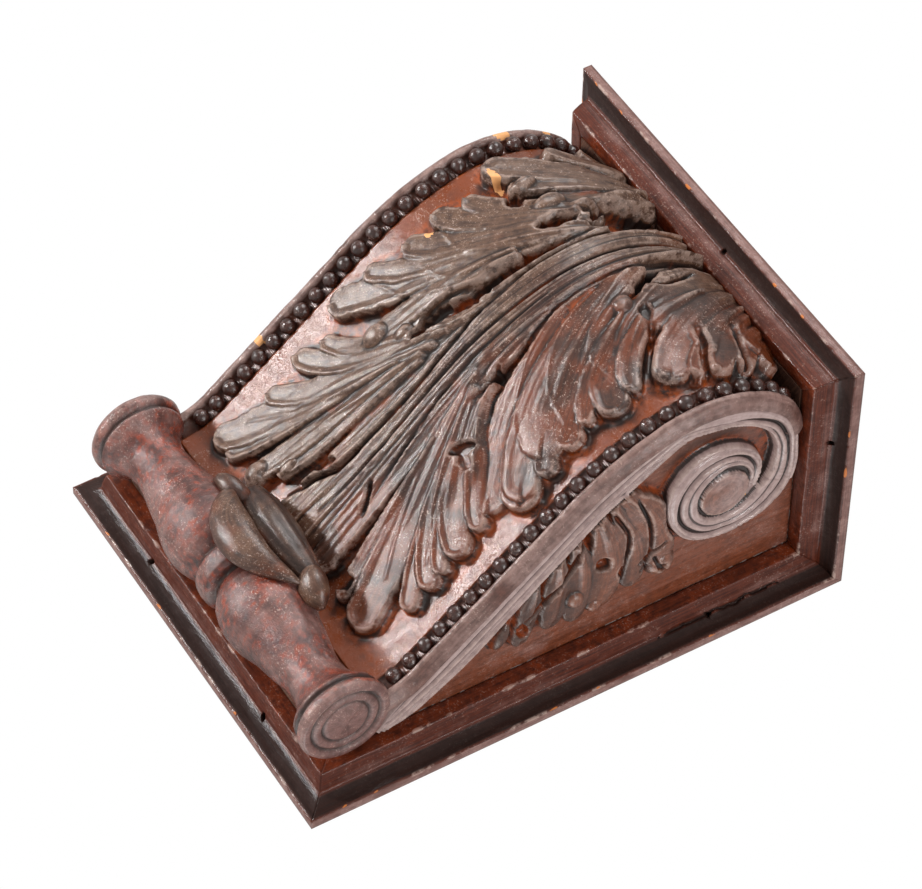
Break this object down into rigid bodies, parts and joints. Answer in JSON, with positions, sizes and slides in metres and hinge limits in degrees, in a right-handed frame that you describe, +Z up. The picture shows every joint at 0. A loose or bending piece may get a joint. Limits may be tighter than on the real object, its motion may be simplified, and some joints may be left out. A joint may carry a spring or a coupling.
{
  "type": "carved wooden corbel bracket",
  "caption": "Wooden corbel with a carved acanthus S-scroll front, bead rows, side volutes and a turned foot roll, framed by mitred moulding, to carry a shelf or mantel",
  "frame": {"origin": "middle of the wall face, in the plane that lies on the wall", "axes": "+Z up towards the seat, +Y into the wall, the body comes out along -Y, +X to the right seen from the front"},
  "size_m": [0.203, 0.1366, 0.252],
  "materials": {
    "carved_wood": "dark mahogany stain under an old crackled varnish, worn grey-brown on the high carving, amber in the hollows",
    "moulding_wood": "dark red-brown stain and worn satin varnish with fine grain along each strip"
  },
  "bodies": {
    "root": {"console": "carved_wood", "bottom_moulding": "moulding_wood", "left_back_moulding": "moulding_wood", "right_back_moulding": "moulding_wood", "top_front_moulding": "moulding_wood", "top_left_moulding": "moulding_wood", "top_right_moulding": "moulding_wood"}
  },
  "joints": []
}
